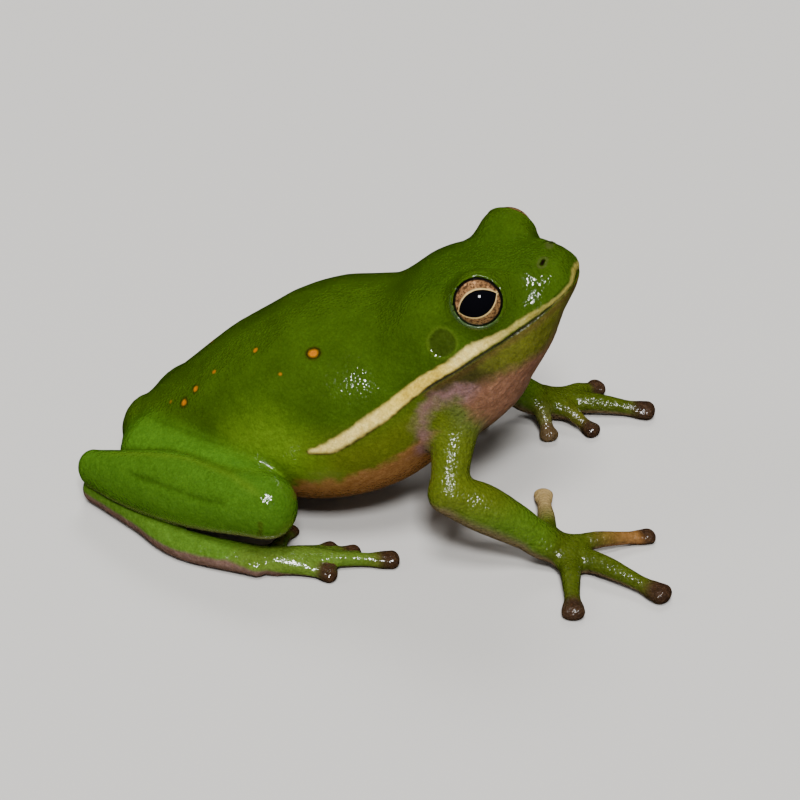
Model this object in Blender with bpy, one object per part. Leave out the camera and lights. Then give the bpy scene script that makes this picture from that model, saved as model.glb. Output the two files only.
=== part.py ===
"""American green tree frog, a still, life-size model of an adult male sitting with its head raised.

The frog faces +X with its left side at +Y, and rests on the floor at Z = 0.
Sizes below are in millimetres and are turned to metres as each mesh is made.
Each part of the body is its own closed solid, and 0.3 mm is left between parts that meet.
"""

import math

import bmesh
import bpy
from mathutils import Matrix, Vector

MM = 0.001
GAP = 0.3
SIDES = {"right": -1, "left": 1}

# The floor point below the middle of the whole model's box, which becomes the origin
BOX_MIDDLE = Vector((2.61, 2.18, 0.0))

# Trunk stations from the rump forward: X, Y, Z of the middle, half width, half height
TRUNK = [
    (-21.0, 0.0, 5.4, 4.1, 2.95),
    (-18.3, 0.0, 6.4, 6.0, 4.2),
    (-14.8, 0.0, 7.7, 8.0, 5.8),
    (-10.0, 0.0, 9.5, 10.2, 7.9),
    (-4.5, 0.0, 11.2, 11.7, 9.8),
    (1.0, 0.0, 13.5, 11.6, 10.0),
    (6.0, -0.1, 16.2, 10.3, 8.3),
    (9.5, -0.3, 17.9, 8.8, 7.5),
    (12.4, -0.6, 19.3, 6.8, 5.7),
]
TRUNK_ENDS = (1.0, 0.5)
TRUNK_SIDES = 32

# Head stations in the head's own axes, with the mouth at Z = 0 and the snout's tip at the origin:
# distance behind the snout's tip, half width, height above the mouth, depth of jaw and throat
HEAD = [
    (0.95, 2.2, 1.7, 1.1),
    (1.7, 3.1, 2.6, 1.7),
    (2.85, 4.15, 3.5, 2.35),
    (4.4, 5.4, 4.45, 3.3),
    (6.5, 6.6, 5.45, 4.9),
    (9.0, 7.6, 6.35, 6.2),
    (11.8, 8.4, 7.3, 7.5),
    (14.6, 8.8, 7.55, 8.3),
    (17.5, 8.6, 6.8, 8.2),
    (20.5, 7.2, 5.2, 6.8),
]
# Where the snout starts, as distance behind its tip and height, and how far the nape is domed
SNOUT = (0.65, 0.2)
NAPE_DOME = 1.0
HEAD_SIDES = 36
HEAD_PITCH = 40.0
HEAD_TURN = -4.0
SNOUT_TIP = Vector((21.2, -1.7, 29.6))
CHIN_RAKE = 0.12
# How far the upper lip stands out over the jaw
LIP = 0.25
# How square the head is above and below the mouth, where 2 is round
CROWN_SQUARE = 2.7
JAW_SQUARE = 2.1

EYE = Vector((-7.2, 6.0, 4.3))
EYE_LOOK = Vector((0.35, 0.91, 0.2))
EYE_RADIUS = 2.55
LID_DOME = 3.35
LID_OPENING = 2.3
LID_RIM = 0.35
LID_DOME_INSET = 0.5
LID_DEPTH = 4.0
# How far out of the eye's middle its lids end
RIM_OUT = math.sqrt(EYE_RADIUS ** 2 - LID_OPENING ** 2)
NOSTRIL = Vector((-1.95, 1.66, 2.75))
NOSTRIL_LOOK = Vector((0.35, 0.75, 0.5))
NOSTRIL_RADIUS = 0.3
NOSTRIL_RIM = 0.7
NOSTRIL_SINK = 0.35
EARDRUM = Vector((-12.05, 7.95, 3.1))
EARDRUM_LOOK = Vector((0.0, 1.0, 0.12))
EARDRUM_RADIUS = 1.4
EARDRUM_THICKNESS = 0.7
# The line of the mouth, as distance behind the snout's tip and height
MOUTH = [
    (-2.0, -0.6), (1.5, -0.75), (4.0, -0.6), (6.5, -0.3), (9.0, 0.0), (12.0, 0.15), (15.0, 0.3), (17.05, 0.2),
]
# The top and the foot of the cut at the neck
NECK = [(-17.6, 9.0), (-15.6, -12.0)]
CUT_HALF_WIDTH = 16.0

# Joints of the arms, with the places of the finger pads from the innermost finger out
ARMS = {
    "right": {
        "shoulder": (10.3, -6.0, 15.6),
        "elbow": (10.5, -11.6, 9.0),
        "wrist": (19.0, -8.8, 2.8),
        "palm": (21.8, -8.4),
        "pads": [(17.9, 1.6), (28.9, -3.4), (31.3, -12.7), (23.4, -16.9)],
    },
    "left": {
        "shoulder": (8.0, 5.2, 16.0),
        "elbow": (6.6, 12.4, 8.6),
        "wrist": (14.0, 15.6, 2.8),
        "palm": (17.1, 17.1),
        "pads": [(17.0, 12.0), (21.2, 13.6), (26.2, 17.9), (20.6, 21.2)],
    },
}
# Joints of the legs, with the places of the toe pads from the innermost toe out
LEGS = {
    "right": {
        "hip": (-19.5, -4.9, 5.4),
        "knee": (-6.0, -14.0, 7.4),
        "heel": (-25.2, -6.2, 4.3),
        "tarsus": (-15.0, -13.6),
        "sole": (-7.2, -14.7),
        "pads": [(-5.4, -8.4), (-1.0, -10.6), (1.3, -11.0), (5.1, -11.6), (-0.3, -14.9)],
    },
    "left": {
        "hip": (-18.0, 4.7, 5.6),
        "knee": (-0.6, 13.6, 7.2),
        "heel": (-20.8, 6.2, 4.1),
        "tarsus": (-9.6, 12.8),
        "sole": (-2.0, 14.6),
        "pads": [(0.3, 9.2), (4.0, 10.6), (6.8, 11.6), (9.8, 13.4), (4.6, 17.0)],
    },
}
# How far soles and pads are sunk into the floor before they are cut flat
FLAT = 0.1
PALM_HEIGHT = 1.25
SOLE_HEIGHT = 1.25
PAD_FLATNESS = 0.7
FOOT_HEIGHT = 1.6
TARSUS_HEIGHT = 1.5
# Sections of the limbs: share of the way from joint to joint, rise, half width, half height
UPPER_ARM = [(0.0, 0.0, 2.8, 2.9), (0.5, 0.0, 2.05, 2.15), (0.96, 0.0, 1.65, 1.75)]
FOREARM = [(0.0, 0.0, 1.8, 1.9), (0.35, 0.4, 2.25, 2.35), (0.75, 0.3, 2.0, 1.95), (1.0, 0.0, 1.75, 1.45)]
PALM = [(0.0, 0.0, 1.7, 1.3), (0.55, 0.0, 2.1, 1.3), (1.0, 0.0, 2.3, PALM_HEIGHT)]
THIGH = [(0.0, 0.0, 3.5, 3.5), (0.35, 0.2, 3.6, 3.8), (0.7, 0.4, 3.2, 3.5), (0.93, -0.1, 2.55, 2.95)]
SHANK = [
    (0.02, 0.0, 2.7, 3.1),
    (0.3, 0.1, 2.9, 3.5),
    (0.55, 0.25, 2.9, 3.7),
    (0.8, 0.05, 2.4, 2.9),
    (1.0, 0.0, 1.7, 2.0),
]
CALF_BULGE = 1.1
# Half widths of the fingers and toes at the root, the shaft and the pad, from the innermost out
FINGER_SIZES = [(0.95, 0.82, 1.0), (1.0, 0.78, 0.98), (1.2, 0.95, 1.22), (1.1, 0.9, 1.16)]
TOE_SIZES = [(0.8, 0.65, 0.85), (0.85, 0.68, 0.9), (0.9, 0.72, 1.0), (0.98, 0.8, 1.1), (0.95, 0.78, 1.05)]
# Sections of a finger or toe: share of its length, share of its rise, width and height as shares of the
# shaft or the pad
KNUCKLE = (0.35, 1.0, 1.08, 1.08)
DIGIT_NECK = (0.74, 0.3, 0.84, 0.82)
PAD_START = (0.9, 0.0, 0.9, 0.95)
# Where along the hand each finger starts, from wrist to palm, and how far ahead of the sole the toes do
FINGER_STARTS = (0.3, 0.65, 1.0, 1.0)
TOES_AHEAD = 0.8
FINGER_REACH = 1.0
TOE_REACH = 0.8
FINGER_LIFT = 0.35
TOE_LIFT = 0.2
FINGER_WEB = 0.3
TOE_WEB = 0.62
WEB_HOLLOW = 0.72
WEB_THICKNESS = 0.5
WEB_HEIGHT = 0.75
LIMB_SIDES = 16
DIGIT_SIDES = 8
DISC_SIDES = 22
HOOP_SIDES = 6

# Linear colour and roughness of what the nodes are covered with
SKIN = ((0.105, 0.27, 0.012), 0.35)
FINISHES = {
    "lower_jaw": ((0.35, 0.27, 0.07), 0.4),
    "eye": ((0.02, 0.012, 0.006), 0.08),
    "eardrum": ((0.09, 0.18, 0.03), 0.35),
    "finger": ((0.10, 0.12, 0.02), 0.3),
    "toe": ((0.10, 0.12, 0.02), 0.3),
}


def finish(node):
    """Gives a node its own material."""
    kinds = [kind for kind in FINISHES if node.name.startswith(kind)]
    colour, roughness = FINISHES[kinds[0]] if kinds else SKIN
    made = bpy.data.materials.new(node.name)
    made.use_nodes = True
    shader = made.node_tree.nodes["Principled BSDF"]
    shader.inputs["Base Color"].default_value = (*colour, 1.0)
    shader.inputs["Roughness"].default_value = roughness
    shader.inputs["Metallic"].default_value = 0.0
    node.data.materials.append(made)
    node.data.shade_smooth()
    node.data.set_sharp_from_angle(angle=math.radians(40))


def smooth_rows(rows, steps):
    """Rows of numbers with steps - 1 more between each two, on a Catmull-Rom curve."""
    first = [2 * a - b for a, b in zip(rows[0], rows[1])]
    last = [2 * a - b for a, b in zip(rows[-1], rows[-2])]
    padded = [first, *rows, last]
    out = []
    for i in range(1, len(padded) - 2):
        for k in range(steps):
            t = k / steps
            row = []
            for a, b, c, d in zip(*padded[i - 1:i + 3]):
                square = (2 * a - 5 * b + 4 * c - d) * t * t
                cubic = (3 * b - a - 3 * c + d) * t ** 3
                row.append(0.5 * (2 * b + (c - a) * t + square + cubic))
            out.append(row)
    return out + [list(rows[-1])]


def object_of(name, mesh):
    bmesh.ops.recalc_face_normals(mesh, faces=mesh.faces)
    data = bpy.data.meshes.new(name)
    mesh.to_mesh(data)
    mesh.free()
    made = bpy.data.objects.new(name, data)
    bpy.context.scene.collection.objects.link(made)
    return made


def solid(name, rings, tips):
    """A closed mesh through rings of points, with a fan to a tip at each end."""
    count = len(rings[0])
    mesh = bmesh.new()
    loops = [[mesh.verts.new(point * MM) for point in ring] for ring in rings]
    for first, second in zip(loops, loops[1:]):
        for i in range(count):
            j = (i + 1) % count
            mesh.faces.new((first[i], first[j], second[j], second[i]))
    for loop, tip in zip((loops[0], loops[-1]), tips):
        end = mesh.verts.new(tip * MM)
        for i in range(count):
            mesh.faces.new((loop[i], loop[(i + 1) % count], end))
    return object_of(name, mesh)


def plate(name, low, high):
    """A closed mesh between two like outlines."""
    mesh = bmesh.new()
    first = [mesh.verts.new(point * MM) for point in low]
    second = [mesh.verts.new(point * MM) for point in high]
    count = len(low)
    for i in range(count):
        j = (i + 1) % count
        mesh.faces.new((first[i], first[j], second[j], second[i]))
    caps = [mesh.faces.new(first), mesh.faces.new(second)]
    bmesh.ops.triangulate(mesh, faces=caps)
    return object_of(name, mesh)


def power(value, exponent):
    return math.copysign(abs(value) ** exponent, value)


def tube(name, path, sides, steps=3, grow=0.0, ends=(1.0, 1.0)):
    """A round limb along a path of X, Y, Z, half width and half height, closed by a dome at each end."""
    rows = smooth_rows(path, steps)
    points = [Vector(row[:3]) for row in rows]
    wide = [row[3] + grow for row in rows]
    high = [row[4] + grow for row in rows]
    after = points[1:] + points[-1:]
    before = points[:1] + points[:-1]
    ahead = [(second - first).normalized() for first, second in zip(before, after)]
    across = Vector((0.0, 0.0, 1.0)).cross(ahead[0])
    if across.length < 0.3:
        across = Vector((0.0, 1.0, 0.0))
    rings = []

    def ring(middle, forward, scale, i):
        nonlocal across
        across = (across - forward * across.dot(forward)).normalized()
        above = forward.cross(across)
        rings.append([
            middle
            + across * (scale * wide[i] * math.cos(turn))
            + above * (scale * high[i] * math.sin(turn))
            for turn in (math.tau * k / sides for k in range(sides))
        ])

    last = len(points) - 1
    reach = [ends[0] * min(wide[0], high[0]), ends[1] * min(wide[last], high[last])]
    for lift in (60, 30):
        angle = math.radians(lift)
        ring(points[0] - ahead[0] * reach[0] * math.sin(angle), ahead[0], math.cos(angle), 0)
    for i, point in enumerate(points):
        ring(point, ahead[i], 1.0, i)
    for lift in (30, 60):
        angle = math.radians(lift)
        ring(points[last] + ahead[last] * reach[1] * math.sin(angle), ahead[last], math.cos(angle), last)
    tips = (points[0] - ahead[0] * reach[0], points[last] + ahead[last] * reach[1])
    return solid(name, rings, tips)


def turned_to(look):
    """A rotation that takes +Z to a direction."""
    return Vector(look).to_track_quat("Z", "Y").to_matrix().to_4x4()


def ball(name, middle, radius, rings=11, turn=Matrix()):
    mesh = bmesh.new()
    place = Matrix.Translation(middle * MM) @ turn
    bmesh.ops.create_uvsphere(mesh, u_segments=2 * rings, v_segments=rings, radius=radius * MM, matrix=place)
    return object_of(name, mesh)


def disc(name, middle, look, radius, thickness):
    mesh = bmesh.new()
    place = Matrix.Translation(middle * MM) @ turned_to(look)
    bmesh.ops.create_cone(
        mesh, cap_ends=True, segments=DISC_SIDES, radius1=radius * MM, radius2=radius * MM,
        depth=thickness * MM, matrix=place,
    )
    return object_of(name, mesh)


def hoop(name, middle, look, radius, thick):
    """A round ring about a direction."""
    place = Matrix.Translation(middle) @ turned_to(look)
    mesh = bmesh.new()
    loops = []
    for i in range(DISC_SIDES):
        turn = math.tau * i / DISC_SIDES
        loop = []
        for k in range(HOOP_SIDES):
            roll = math.tau * k / HOOP_SIDES
            out = radius + thick * math.cos(roll)
            point = place @ Vector((out * math.cos(turn), out * math.sin(turn), thick * math.sin(roll)))
            loop.append(mesh.verts.new(point * MM))
        loops.append(loop)
    for first, second in zip(loops, loops[1:] + loops[:1]):
        for k in range(HOOP_SIDES):
            j = (k + 1) % HOOP_SIDES
            mesh.faces.new((first[k], second[k], second[j], first[j]))
    return object_of(name, mesh)


def settled(obj):
    """The object with its modifiers applied."""
    graph = bpy.context.evaluated_depsgraph_get()
    made = bpy.data.meshes.new_from_object(obj.evaluated_get(graph), depsgraph=graph)
    obj.modifiers.clear()
    obj.data = made
    return obj


def boolean(obj, others, operation, solver="EXACT"):
    """One Boolean of an object with a collection of closed meshes, which are then removed."""
    group = bpy.data.collections.new("tools")
    bpy.context.scene.collection.children.link(group)
    for other in others:
        group.objects.link(other)
    step = obj.modifiers.new("boolean", "BOOLEAN")
    step.operation = operation
    step.solver = solver
    step.operand_type = "COLLECTION"
    step.collection = group
    bpy.context.view_layer.update()
    settled(obj)
    for other in others:
        bpy.data.objects.remove(other)
    bpy.data.collections.remove(group)
    return obj


def cut(obj, cutters, solver="EXACT"):
    for cutter in cutters:
        boolean(obj, [cutter], "DIFFERENCE", solver)
    return largest(obj)


def pieces_of(obj):
    """The face lists of a mesh's separate closed surfaces, largest first."""
    mesh = bmesh.new()
    mesh.from_mesh(obj.data)
    left = set(mesh.faces)
    found = []
    while left:
        seed = left.pop()
        group, edge = {seed}, [seed]
        while edge:
            for side in edge.pop().edges:
                for face in side.link_faces:
                    if face in left:
                        left.remove(face)
                        group.add(face)
                        edge.append(face)
        found.append(group)
    found.sort(key=lambda group: -sum(face.calc_area() for face in group))
    return mesh, found


def largest(obj):
    """Keeps only the largest closed surface of a node."""
    mesh, found = pieces_of(obj)
    bmesh.ops.delete(mesh, geom=[face for group in found[1:] for face in group], context="FACES")
    mesh.to_mesh(obj.data)
    mesh.free()
    return obj


def split(obj, names):
    """Turns the largest separate surfaces of a mesh into nodes of these names, lowest first."""
    mesh, found = pieces_of(obj)
    found = found[:len(names)]
    found.sort(key=lambda group: sum(face.calc_center_median().z for face in group) / len(group))
    for name, group in zip(names, found):
        keep = {face.index for face in group}
        part = mesh.copy()
        part.faces.ensure_lookup_table()
        dropped = [face for face in part.faces if face.index not in keep]
        bmesh.ops.delete(part, geom=dropped, context="FACES")
        object_of(name, part)
    mesh.free()
    bpy.data.objects.remove(obj)


def below_floor():
    """All that lies below the floor. Cutting it off leaves small flats where the frog rests."""
    mesh = bmesh.new()
    size = Matrix.Diagonal((0.2, 0.2, 0.02, 1.0))
    bmesh.ops.create_cube(mesh, size=1.0, matrix=Matrix.Translation((0.0, 0.0, -0.01)) @ size)
    return object_of("floor", mesh)


# Trunk and head, modelled whole and parted with thin cuts at the neck and mouth
HEAD_AXES = (
    Matrix.Translation(SNOUT_TIP)
    @ Matrix.Rotation(math.radians(HEAD_TURN), 4, "Z")
    @ Matrix.Rotation(math.radians(-HEAD_PITCH), 4, "Y")
)
HEAD_TURNED = HEAD_AXES.to_3x3().to_4x4()


def trunk(name="trunk", grow=0.0):
    return tube(name, TRUNK, TRUNK_SIDES, steps=2, grow=grow, ends=TRUNK_ENDS)


def skull(grow=0.0):
    rows = smooth_rows(HEAD, 2)
    rings = []
    for back, wide, high, deep in rows:
        ring = []
        for k in range(HEAD_SIDES):
            turn = math.tau * k / HEAD_SIDES
            upper = math.sin(turn) >= 0
            square = CROWN_SQUARE if upper else JAW_SQUARE
            y = (wide + grow - (0.0 if upper else LIP)) * power(math.cos(turn), 2 / square)
            z = ((high if upper else deep) + grow) * power(math.sin(turn), 2 / square)
            ring.append(HEAD_AXES @ Vector((-back + CHIN_RAKE * min(z, 0.0), y, z)))
        rings.append(ring)
    snout_back, snout_height = SNOUT
    nape = -rows[-1][0] - NAPE_DOME - grow
    tips = (HEAD_AXES @ Vector((grow - snout_back, 0.0, snout_height)), HEAD_AXES @ Vector((nape, 0.0, 0.0)))
    return solid("skull", rings, tips)


def mirrored(point, side):
    return Vector((point[0], side * point[1], point[2]))


def on_head(point, side):
    """The place of a point given in the head's axes, on one side of the head."""
    return HEAD_AXES @ mirrored(point, side)


def facing(look, side):
    return HEAD_TURNED @ mirrored(look.normalized(), side)


def face_forms(side):
    """What stands out of one side of the head: the lids' dome, the rim of the lids and of the nostril."""
    eye = on_head(EYE, side)
    dome = on_head(EYE - Vector((0.0, LID_DOME_INSET, 0.0)), side)
    rim = eye + facing(EYE_LOOK, side) * RIM_OUT
    nostril = on_head(NOSTRIL, side) - facing(NOSTRIL_LOOK, side) * NOSTRIL_SINK
    return [
        ball("dome", dome, LID_DOME),
        hoop("rim", rim, facing(EYE_LOOK, side), LID_OPENING + LID_RIM, LID_RIM),
        ball("nostril_rim", nostril, NOSTRIL_RIM, rings=6),
    ]


def face_cuts(side):
    """What is cut into one side of the head: socket, opening of the lids, nostril, recess of the eardrum."""
    eye = on_head(EYE, side)
    look = facing(EYE_LOOK, side)
    nostril = on_head(NOSTRIL, side) + facing(NOSTRIL_LOOK, side) * (NOSTRIL_RIM - NOSTRIL_SINK)
    recess = 2 * (EARDRUM_THICKNESS + GAP)
    return [
        ball("socket", eye, EYE_RADIUS + GAP),
        disc("opening", eye + look * (RIM_OUT + LID_DEPTH / 2), look, LID_OPENING, LID_DEPTH),
        ball("pit", nostril, NOSTRIL_RADIUS, rings=6),
        disc("ear", on_head(EARDRUM, side), facing(EARDRUM_LOOK, side), EARDRUM_RADIUS + GAP, recess),
    ]


def sheet(name, outline, half_width):
    """A sheet right across the head, from its outline in the head's X and Z."""
    near = [HEAD_AXES @ Vector((x, -half_width, z)) for x, z in outline]
    far = [HEAD_AXES @ Vector((x, half_width, z)) for x, z in outline]
    return plate(name, near, far)


def head_and_trunk():
    """Trunk, head and jaw are made whole and then parted at the neck and along the mouth."""
    core = trunk("core")
    boolean(core, [skull()] + face_forms(-1) + face_forms(1), "UNION")
    half = GAP / 2
    lip = [(-back, height + half) for back, height in MOUTH]
    jaw = [(-back, height - half) for back, height in reversed(MOUTH)]
    (top_x, top_z), (foot_x, foot_z) = NECK
    neck = [(top_x - half, top_z), (top_x + half, top_z), (foot_x + half, foot_z), (foot_x - half, foot_z)]
    cutters = face_cuts(-1) + face_cuts(1)
    cutters += [sheet("mouth", lip + jaw, CUT_HALF_WIDTH), sheet("neck", neck, CUT_HALF_WIDTH)]
    for cutter in cutters:
        boolean(core, [cutter], "DIFFERENCE")
    split(core, ["torso", "lower_jaw", "head"])


def eyes_and_eardrums():
    for name, side in SIDES.items():
        ball("eye_" + name, on_head(EYE, side), EYE_RADIUS, turn=turned_to(facing(EYE_LOOK, side)))
        out = facing(EARDRUM_LOOK, side)
        middle = on_head(EARDRUM, side) - out * (EARDRUM_THICKNESS / 2)
        disc("eardrum_" + name, middle, out, EARDRUM_RADIUS, EARDRUM_THICKNESS)


def between(first, second, share, lift=0.0):
    """A point part of the way from one joint to another, raised a little."""
    point = Vector(first).lerp(Vector(second), share)
    return (point.x, point.y, point.z + lift)


def limb(name, first, second, sections, grow=0.0, bow=0.0):
    """A limb between two joints through its sections. It may bow sideways between them."""
    path = []
    for i, (share, lift, *widths) in enumerate(sections):
        x, y, z = between(first, second, share, lift)
        aside = bow * math.sin(math.pi * (i + 1) / (len(sections) + 1))
        path.append((x, y + aside, z, *widths))
    return tube(name, path, LIMB_SIDES, grow=grow)


def upper_arm(side, grow=0.0):
    return limb("upper_arm_" + side, ARMS[side]["shoulder"], ARMS[side]["elbow"], UPPER_ARM, grow)


def forearm(side, grow=0.0):
    return limb("forearm_" + side, ARMS[side]["elbow"], ARMS[side]["wrist"], FOREARM, grow)


def palm_middle(side):
    return (*ARMS[side]["palm"], PALM_HEIGHT - FLAT)


def palm(side, grow=0.0):
    return limb("palm_" + side, ARMS[side]["wrist"], palm_middle(side), PALM, grow)


def thigh(side, grow=0.0):
    return limb("thigh_" + side, LEGS[side]["hip"], LEGS[side]["knee"], THIGH, grow)


def shank(side, grow=0.0):
    bow = SIDES[side] * CALF_BULGE
    return limb("shank_" + side, LEGS[side]["knee"], LEGS[side]["heel"], SHANK, grow, bow)


def foot_middle(side):
    return (*LEGS[side]["sole"], SOLE_HEIGHT - FLAT)


def foot(side, grow=0.0):
    """The long foot, level on the floor from under the heel to the sole."""
    heel_x, heel_y, _ = LEGS[side]["heel"]
    tarsus_x, tarsus_y = LEGS[side]["tarsus"]
    path = [
        (heel_x - 0.1, heel_y, FOOT_HEIGHT - FLAT, 1.4, FOOT_HEIGHT),
        ((heel_x + tarsus_x) / 2, (heel_y + tarsus_y) / 2, FOOT_HEIGHT - FLAT, 1.4, FOOT_HEIGHT),
        (tarsus_x, tarsus_y, TARSUS_HEIGHT - FLAT, 1.5, TARSUS_HEIGHT),
        (*foot_middle(side), 1.9, SOLE_HEIGHT),
    ]
    return tube("foot_" + side, path, LIMB_SIDES, grow=grow)


def digit(name, root, pad, sizes, lift, grow=0.0):
    """A finger or toe from its root to its round pad. The sizes are half widths at root, shaft and pad."""
    base, shaft, pad_wide = sizes
    pad_high = pad_wide * PAD_FLATNESS
    end = (*pad, pad_high - FLAT)
    path = [(*root, base, base)]
    for (share, rise, wide, high), size in ((KNUCKLE, (shaft, shaft)), (DIGIT_NECK, (shaft, shaft)),
                                            (PAD_START, (pad_wide, pad_high))):
        path.append((*between(root, end, share, lift * rise), size[0] * wide, size[1] * high))
    path.append((*end, pad_wide, pad_high))
    return tube(name, path, DIGIT_SIDES, steps=2, grow=grow)


def web(first, second, share):
    """A thin skin between two digits, out to a share of their length. Each digit is (root, pad)."""
    roots = [Vector(root[:2]) for root, _ in (first, second)]
    ends = [root.lerp(Vector(pad), share) for root, (_, pad) in zip(roots, (first, second))]
    hollow = ((roots[0] + roots[1]) / 2).lerp((ends[0] + ends[1]) / 2, WEB_HOLLOW)
    outline = [roots[0], ends[0], hollow, ends[1], roots[1]]
    low, high = (
        [Vector((*point, WEB_HEIGHT + lift)) for point in outline]
        for lift in (-WEB_THICKNESS / 2, WEB_THICKNESS / 2)
    )
    return plate("web", low, high)


def digits(name, side, roots, pads, sizes, blocks, reach, web_share, lift):
    """The fingers of a hand or the toes of a foot, each webbed to the one before it and cut clear of it."""
    last = None
    for number, (root, pad, size) in enumerate(zip(roots, pads, sizes), 1):
        along = Vector((*pad, root.z)) - root
        start = tuple(root + along.normalized() * reach)
        made = digit(f"{name}_{side}_{number}", start, pad, size, lift)
        cutters = [block(side, GAP) for block in blocks] + [below_floor()]
        if last:
            boolean(made, [web((start, pad), last[:2], web_share)], "UNION", "MANIFOLD")
            cutters.append(digit("near", *last, lift, grow=GAP))
        cut(made, cutters, "MANIFOLD")
        last = (start, pad, size)


def arm_and_hand(side):
    cut(upper_arm(side), [trunk(grow=GAP), skull(grow=GAP)])
    cut(forearm(side), [upper_arm(side, GAP)])
    cut(palm(side), [forearm(side, GAP), below_floor()])
    arm = ARMS[side]
    roots = [Vector(between(arm["wrist"], palm_middle(side), share)) for share in FINGER_STARTS]
    blocks = [palm, forearm]
    digits("finger", side, roots, arm["pads"], FINGER_SIZES, blocks, FINGER_REACH, FINGER_WEB, FINGER_LIFT)


def leg_and_foot(side):
    cut(thigh(side), [trunk(grow=GAP), shank(side, GAP)])
    cut(shank(side), [trunk(grow=GAP)])
    cut(foot(side), [shank(side, GAP), thigh(side, GAP), trunk(grow=GAP), below_floor()])
    sole = Vector(foot_middle(side)) + Vector((TOES_AHEAD, 0.0, 0.0))
    roots = [sole] * len(TOE_SIZES)
    blocks = [foot, shank, thigh]
    digits("toe", side, roots, LEGS[side]["pads"], TOE_SIZES, blocks, TOE_REACH, TOE_WEB, TOE_LIFT)


for old in list(bpy.data.objects):
    bpy.data.objects.remove(old)
head_and_trunk()
eyes_and_eardrums()
for each_side in SIDES:
    arm_and_hand(each_side)
    leg_and_foot(each_side)
for node in bpy.data.objects:
    node.location = -BOX_MIDDLE * MM
    finish(node)
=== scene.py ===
"""The looks of the American green tree frog: one skin over its whole body, and its two eyes.

The forms of the body are worked out as distances on a grid, in millimetres, in the frog's own frame:
it faces +X, its left side is at +Y and the floor is at Z = 0. The grid is then turned into one mesh.
"""

import math

import bmesh
import bpy
import numpy as np
import openvdb
from mathutils import Matrix, Vector


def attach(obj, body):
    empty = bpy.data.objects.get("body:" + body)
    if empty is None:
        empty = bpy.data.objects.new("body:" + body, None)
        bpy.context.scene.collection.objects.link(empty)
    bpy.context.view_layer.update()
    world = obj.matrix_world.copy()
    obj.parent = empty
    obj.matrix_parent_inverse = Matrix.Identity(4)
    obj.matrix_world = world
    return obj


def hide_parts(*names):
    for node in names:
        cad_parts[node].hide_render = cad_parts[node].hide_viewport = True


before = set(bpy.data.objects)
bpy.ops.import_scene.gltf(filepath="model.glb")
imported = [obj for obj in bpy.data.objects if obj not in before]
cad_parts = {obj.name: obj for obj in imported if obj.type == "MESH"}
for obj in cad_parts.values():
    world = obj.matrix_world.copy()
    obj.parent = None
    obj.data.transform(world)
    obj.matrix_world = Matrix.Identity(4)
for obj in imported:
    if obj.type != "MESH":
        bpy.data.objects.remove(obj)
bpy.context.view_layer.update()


# The trunk. The frog's body from the rump to the shoulders is one soft, rounded form, higher in front.
# It is lofted through a few ovals and kept as a grid of distances to its surface, negative inside.
MM = 0.001
BOX_MIDDLE = np.array((2.61, 2.18, 0.0))
SIDES = {"right": -1, "left": 1}
CELL = 0.2
REACH = 2.8
GRID_LOW = np.array((-145, -100, -8))
GRID_SIZE = (315, 222, 176)
X, Y, Z = (
    ((low + np.arange(size)) * CELL).astype(np.float32).reshape([-1 if i == axis else 1 for i in range(3)])
    for axis, (low, size) in enumerate(zip(GRID_LOW, GRID_SIZE))
)
# X, Y, Z of the middle, half width, half height
TRUNK = [
    (-21.0, 0.0, 5.4, 4.1, 2.95),
    (-18.3, 0.0, 6.4, 6.0, 4.2),
    (-14.8, 0.0, 7.7, 8.0, 5.8),
    (-10.0, 0.0, 9.5, 10.2, 7.9),
    (-4.5, 0.0, 11.2, 11.7, 9.8),
    (1.0, 0.0, 13.5, 11.6, 10.0),
    (6.0, -0.1, 16.2, 10.3, 8.3),
    (9.5, -0.3, 17.9, 8.8, 7.5),
    (12.4, -0.6, 19.3, 6.8, 5.7),
]


def smooth_rows(rows, steps):
    """Rows of numbers with steps - 1 more between each two, on a Catmull-Rom curve."""
    rows = np.array(rows, float)
    padded = np.vstack([2 * rows[0] - rows[1], rows, 2 * rows[-1] - rows[-2]])
    out = []
    for i in range(1, len(rows)):
        a, b, c, d = padded[i - 1:i + 3]
        for t in np.arange(steps) / steps:
            cubic = (3 * b - a - 3 * c + d) * t ** 3
            out.append(0.5 * (2 * b + (c - a) * t + (2 * a - 5 * b + 4 * c - d) * t * t + cubic))
    return np.array(out + [rows[-1]])


def closed_mesh(rings, tips):
    """Points and triangles through rings of points, with a fan to a tip at each end."""
    rings = np.array(rings)
    layers, count = rings.shape[:2]
    points = np.vstack([rings.reshape(-1, 3), tips])
    k = np.arange(count)
    after = (k + 1) % count
    faces = []
    for i in range(layers - 1):
        near, far = i * count, (i + 1) * count
        faces += [
            np.column_stack([near + k, near + after, far + after]),
            np.column_stack([near + k, far + after, far + k]),
        ]
    first, last = layers * count, layers * count + 1
    faces.append(np.column_stack([after, k, np.full(count, first)]))
    top = (layers - 1) * count
    faces.append(np.column_stack([top + k, top + after, np.full(count, last)]))
    return points, np.vstack(faces)


def unit(vector):
    return np.array(vector, float) / np.linalg.norm(vector)


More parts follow.
